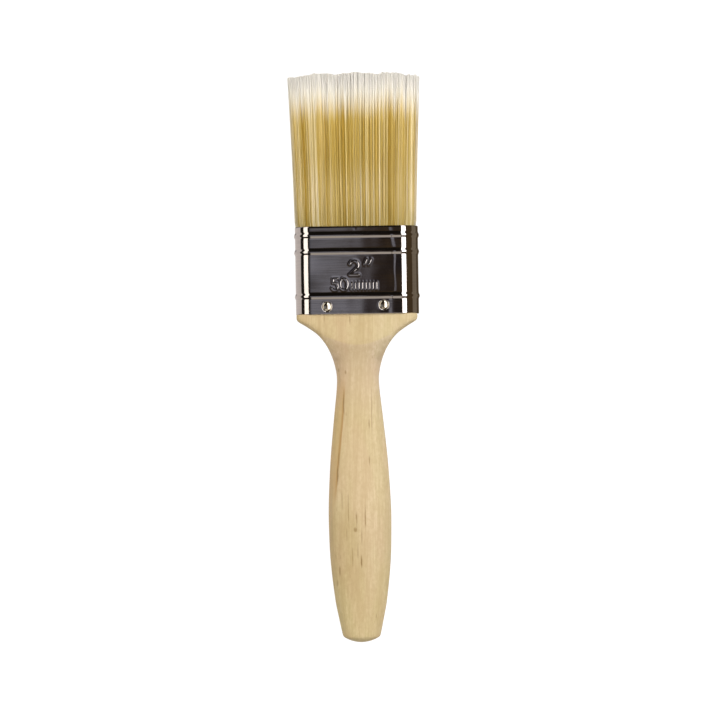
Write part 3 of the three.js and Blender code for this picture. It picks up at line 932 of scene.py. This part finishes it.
def strand_looks(across, clumps, short):
    """What the material reads of each strand: its tone, its bleaching and how much painted light it gets
    at the head's edges.
    """
    count = len(across)
    swell = 0.06 * np.sin(9.5 * across + 1.0) + 0.06 * np.sin(27 * across + 2.2)
    tone = np.clip(0.5 + swell + clumps.draw(0.14) + random.normal(0, 0.16, count), 0, 1)
    shift = clumps.draw(0.8) + random.normal(0, 1.0, count) + short * 0.7
    # Painted light: how much of the paler edge colour each strand near the head's edges gets.
    painted_fringe_light = 0.5 * smoothstep(np.abs(across), 0.93, 0.985) * random.uniform(0.5, 1, count)
    return {"tone": tone, "bleach_shift_mm": shift, "painted_fringe_light": painted_fringe_light}


def make_filament(layer, material):
    """One of the three layers of strands, rooted in the ferrule."""
    low, high, count = LAYERS[layer]
    spread = quasi_random(count)
    across = np.clip(2 * spread[:, 0] - 1 + random.normal(0, 0.003, count), -0.995, 0.995)
    share = low + (high - low) * spread[:, 1]
    clumps = Clumps(across, share, low, high)
    short = np.where(random.random(count) < SHORT_STRANDS, random.uniform(0.4, 4.0, count), 0)
    trimmed = TIPS + trim_line(across * TIP_HALF_WIDTH) + clumps.draw(0.2)
    ends = np.minimum(trimmed - np.abs(random.normal(0, 0.25, count)) - short, TIPS)
    heights = strand_heights(ends)
    centres = strand_centres(layer, across, share, clumps, heights)
    vertices, faces, unit_uv = strand_skin(centres, STRAND_RADIUS * random.uniform(0.85, 1.1, count))
    uvs = strand_uvs(count, unit_uv)
    piece = new_piece(f"filament_strands_{layer}", vertices, faces, material, uvs, smooth_groups=1)
    from_tip = np.repeat((ends - heights).T[:, :, None], STRAND_SIDES, 2).reshape(count, -1)
    set_attribute(piece, "from_tip_mm", np.concatenate([from_tip, np.zeros((count, 1))], 1).ravel())
    for name, value in strand_looks(across, clumps, short).items():
        set_attribute(piece, name, np.repeat(value, len(vertices) // count))
    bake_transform(piece)
    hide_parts(f"filament_{layer}", f"filament_root_{layer}")


# Stage

LIGHT_SHIFT = 0.8  # metres towards the filament
VIEW_WIDTH = 0.2966  # metres across the picture, at the brush
VIEW_MIDDLE = (0.97, -1.0)  # millimetres from the brush's own middle
VIEW_TURN = -0.87  # degrees


def area_light(name, width, height, radiance, colour):
    """A rectangle of light, as bright as its radiance says whatever its size."""
    data = bpy.data.lights.new(name, "AREA")
    data.shape = "RECTANGLE"
    data.size, data.size_y = width, height
    data.energy = radiance * math.pi * data.size * data.size_y
    data.color = colour
    lamp = bpy.data.objects.new(name, data)
    bpy.context.scene.collection.objects.link(lamp)
    return lamp


def softbox(name, zenith, azimuth, half_angle, radiance, colour, distance=1.2, length=2.8):
    """A softbox that faces the brush, placed by its angle from straight up and its compass angle."""
    width = 2 * distance * math.tan(math.radians(half_angle))
    lamp = area_light(name, width, length, radiance, colour)
    a, z = math.radians(azimuth), math.radians(zenith)
    lamp.location = (distance * math.sin(z) * math.cos(a), LIGHT_SHIFT, distance * math.cos(z))
    lamp.rotation_euler = (0, z, a)


def fill_light(name, azimuth, elevation, radiance, colour, distance=1.5):
    """A softbox that the metal doesn't mirror, placed by its compass angle and height."""
    lamp = area_light(name, 1.3, 0.8, radiance, colour)
    a, e = math.radians(azimuth), math.radians(elevation)
    towards = Vector((math.cos(a) * math.cos(e), math.sin(a) * math.cos(e), math.sin(e)))
    lamp.location = towards * distance
    lamp.rotation_euler = towards.to_track_quat("Z", "Y").to_euler()
    lamp.visible_glossy = False


def room_colour(n):
    """What the brush sees of the studio: ground, walls, a patch overhead and a wall past the handle."""
    x, y, z = n.split(n.node("TexCoord").outputs["Generated"])
    side = n.between(x, -0.25, 0.25)
    above = n.between(n.plus(z, n.times(side, 0.1)), 0.04, 0.12)
    ground = n.mix(side, (1.0, 0.95, 0.93), (0.30, 0.255, 0.19))
    walls = n.mix(side, (0.02, 0.018, 0.014), (0.105, 0.07, 0.035))
    beyond = n.times(n.between(y, 0.12, 0.32), n.between(n.math("ABSOLUTE", x), 0.75, 0.5))
    room = n.mix(beyond, n.mix(above, ground, walls), (0.012, 0.010, 0.008))
    patch = n.times(n.between(x, -0.5, -0.2), n.between(y, 0.14, -0.02), n.between(y, -0.5, -0.1),
                    n.between(z, 0.7, 0.9))
    overhead = n.mix(n.between(x, -0.004, 0.013), (0.37, 0.39, 0.47), (0.065, 0.056, 0.066))
    overhead = n.mix(n.between(x, 0.022, 0.045), overhead, (0.020, 0.017, 0.021))
    overhead = n.mix(n.between(x, 0.17, 0.24), overhead, (0.04, 0.033, 0.026))
    room = n.mix(patch, room, overhead)
    centre = n.times(n.between(x, -0.3, -0.18), n.between(x, 0.3, 0.18))
    wall = n.times(n.between(y, -0.36, -0.5), centre, above)
    return n.mix(wall, room, (0.70, 0.66, 0.61))


def make_world():
    """A dim studio that lights the brush, and a white surround that only the camera sees."""
    world = bpy.data.worlds.new("studio")
    bpy.context.scene.world = world
    world.use_nodes = True
    world.node_tree.nodes.clear()
    n = Nodes(world.node_tree)
    studio, surround = n.node("Background"), n.node("Background")
    n.link(room_colour(n), studio.inputs["Color"])
    surround.inputs["Color"].default_value = (1, 1, 1, 1)
    mix = n.node("MixShader")
    n.link(n.node("LightPath").outputs["Is Camera Ray"], mix.inputs[0])
    n.link(studio.outputs[0], mix.inputs[1])
    n.link(surround.outputs[0], mix.inputs[2])
    n.link(mix.outputs[0], n.node("OutputWorld").inputs["Surface"])


def make_floor():
    """A pale, faintly lit tabletop. The metal mirrors the room instead of it."""
    n = Material("pale_floor", Base_Color=(0.12, 0.12, 0.12), Roughness=0.9)
    n.drive("Emission Color", (1.0, 1.0, 1.0))
    n.shader.inputs["Emission Strength"].default_value = 0.96
    half = 4000  # millimetres each way
    corners = np.array([[-half, -half, 0], [half, -half, 0], [half, half, 0], [-half, half, 0]], float)
    floor = new_piece("floor", corners, np.array([[0, 1, 2, 3]]), n.material)
    floor.visible_glossy = False


def make_camera():
    """Straight above the brush, turned a little so that the handle's end swings to the right."""
    data = bpy.data.cameras.new("camera")
    data.lens = 100
    data.clip_end = 20
    camera = bpy.data.objects.new("camera", data)
    aim = Vector((*VIEW_MIDDLE, MID_PLANE)) * MM
    camera.location = aim + Vector((0, 0, VIEW_WIDTH * data.lens / data.sensor_width))
    camera.rotation_euler = (0, 0, math.radians(VIEW_TURN))
    bpy.context.scene.collection.objects.link(camera)
    bpy.context.scene.camera = camera


# Assembly

bpy.context.scene.view_settings.view_transform = "Standard"
make_camera()
make_world()
make_floor()
softbox("left_softbox", zenith=47.2, azimuth=180, half_angle=13.3, radiance=2.7, colour=(1.0, 0.98, 0.925))
softbox("right_softbox", zenith=31.7, azimuth=0, half_angle=13.2, radiance=4.4, colour=(1.0, 1.01, 1.04))
fill_light("end_light", azimuth=90, elevation=40, radiance=4.8, colour=(1.0, 1.0, 1.02))
fill_light("right_light", azimuth=0, elevation=22, radiance=1.5, colour=(0.88, 0.97, 1.2))

handle = make_handle(handle_wood())
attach(handle, "grip")
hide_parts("handle")

ferrule = make_ferrule(nickel())
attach(ferrule, "grip")
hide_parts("ferrule")

nail_material = nail_metal()
for number, nail_name in enumerate(NAIL_NAMES):
    make_nail(nail_name, nail_material, seed=number + 3)

filament_material = filament_plastic()
for layer_name in LAYERS:
    make_filament(layer_name, filament_material)

frame["nodes"]["epoxy_setting"].material_slots[0].material = cured_epoxy()
strip, _ = wood("strip_wood", *STRIP_COLOURS)
for strip_name in ("spacer_front", "spacer_back"):
    frame["nodes"][strip_name].material_slots[0].material = strip.material
